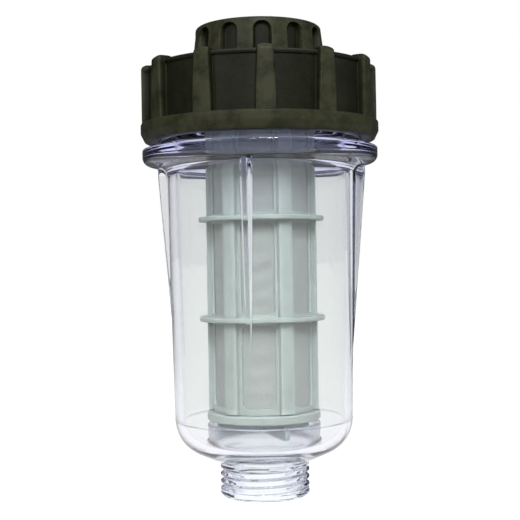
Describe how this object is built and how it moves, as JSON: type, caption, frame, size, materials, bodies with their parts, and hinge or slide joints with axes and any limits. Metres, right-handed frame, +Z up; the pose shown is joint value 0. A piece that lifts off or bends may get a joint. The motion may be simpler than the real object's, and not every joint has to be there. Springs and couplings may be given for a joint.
{
  "type": "inline water filter",
  "caption": "Clear-bowled inline water filter with a ribbed screw cap, swivelling female hose nut, male hose neck and a mesh cartridge inside.",
  "frame": {"origin": "centre of the lower end of the male hose neck, on the common axis", "axes": "+Z up along the common axis, from the male neck to the swivel nut; one gusset fin of the bowl faces nearly -Y and the other three follow at right angles"},
  "size_m": [0.072, 0.072, 0.1412],
  "materials": {
    "clear_plastic": "clear gloss",
    "black_plastic": "fine-grained satin",
    "cartridge_plastic": "satin",
    "mesh_fabric": "fine woven mesh",
    "snap_ring_plastic": "satin",
    "washer_rubber": "matt",
    "ring_rubber": "matt"
  },
  "bodies": {
    "bowl": {"bowl": "clear_plastic", "bowl_o_ring": "ring_rubber"},
    "cartridge": {"cartridge_cage": "cartridge_plastic", "cartridge_mesh": "mesh_fabric", "cartridge_end_plug": "cartridge_plastic", "cartridge_o_ring": "ring_rubber"},
    "cap": {"cap": "black_plastic", "nut_snap_ring": "snap_ring_plastic"},
    "swivel_nut": {"swivel_nut": "black_plastic", "hose_washer": "washer_rubber"}
  },
  "joints": [
    {"name": "cap_lift", "type": "slide", "parent": "bowl", "child": "cartridge", "axis": [0, 0, 1], "range_m": [0, 0.01]},
    {"name": "cap_screw", "type": "hinge", "parent": "cartridge", "child": "cap", "pos_m": [0, 0, 0.12], "axis": [0, 0, 1], "range_deg": [0, 900]},
    {"name": "nut_swivel", "type": "hinge", "parent": "cap", "child": "swivel_nut", "pos_m": [0, 0, 0.135], "axis": [0, 0, 1], "continuous": true}
  ],
  "couplings": [
    {"joint": "cap_lift", "follows": "cap_screw", "m_per_rad": 0.00063662}
  ]
}
